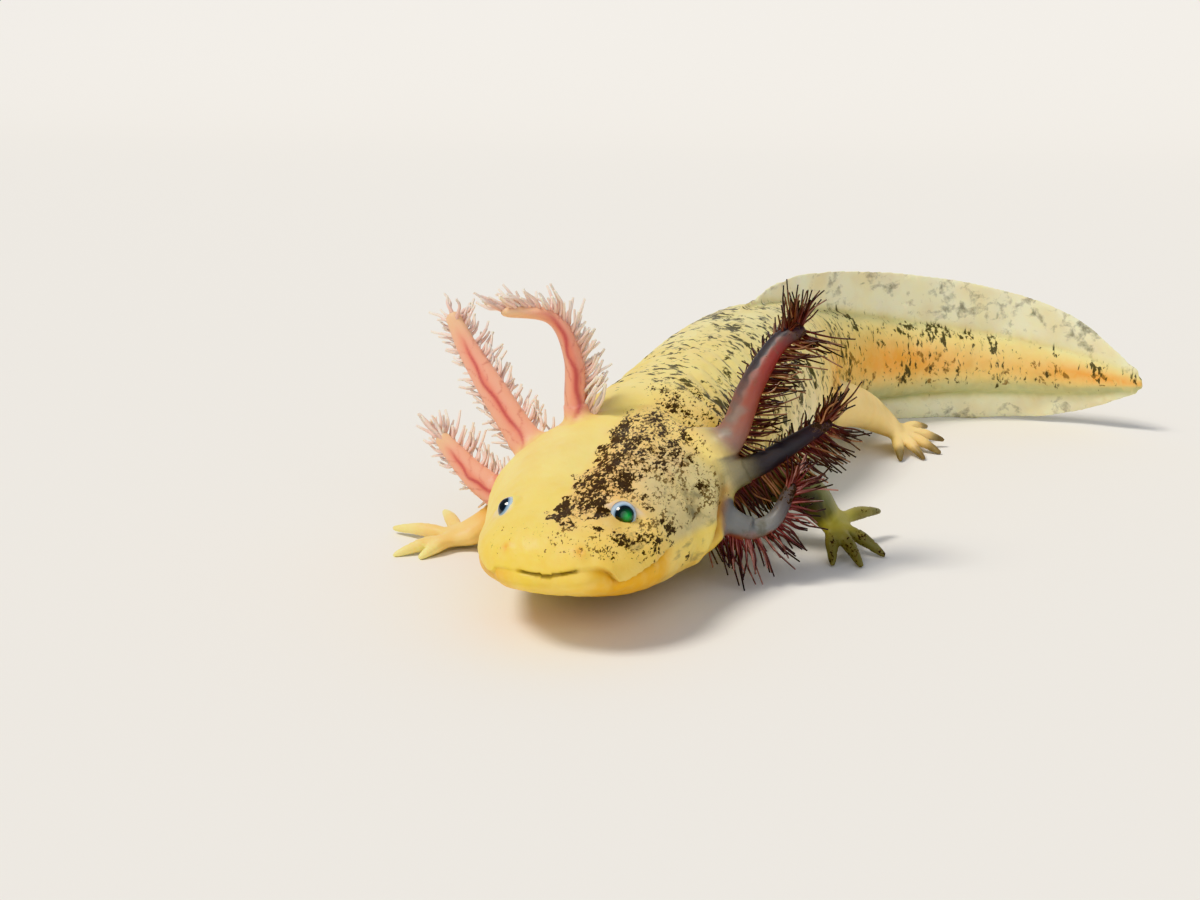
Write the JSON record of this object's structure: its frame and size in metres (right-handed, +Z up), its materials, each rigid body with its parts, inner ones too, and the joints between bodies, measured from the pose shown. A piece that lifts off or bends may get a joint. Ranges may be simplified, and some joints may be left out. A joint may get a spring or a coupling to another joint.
{
  "type": "axolotl",
  "caption": "Still life-size axolotl resting on its belly, with feathery gills raised, legs spread, head turned a little and tail swept to one side.",
  "frame": {"origin": "on the floor, under the middle of the bounding box", "axes": "+Z up from the floor; the head points towards -Y and the trunk runs along +Y; the tail sweeps towards +X, which is the animal's left"},
  "size_m": [0.1292, 0.1966, 0.0505],
  "materials": {
    "skin": "smooth moist skin",
    "gill": "moist filaments",
    "eye": "glossy"
  },
  "bodies": {
    "root": {"head": "skin", "lower_jaw": "skin", "eye_left": "eye", "eye_right": "eye", "neck": "skin", "trunk_front": "skin", "trunk_back": "skin", "tail_base": "skin", "tail_end": "skin", "back_fin": "skin", "tail_fin_upper": "skin", "tail_fin_lower": "skin", "arm_left": "skin", "hand_left": "skin", "arm_right": "skin", "hand_right": "skin", "leg_left": "skin", "foot_left": "skin", "leg_right": "skin", "foot_right": "skin", "gill_left_upper": "gill", "gill_left_middle": "gill", "gill_left_lower": "gill", "gill_right_upper": "gill", "gill_right_middle": "gill", "gill_right_lower": "gill"}
  },
  "joints": []
}
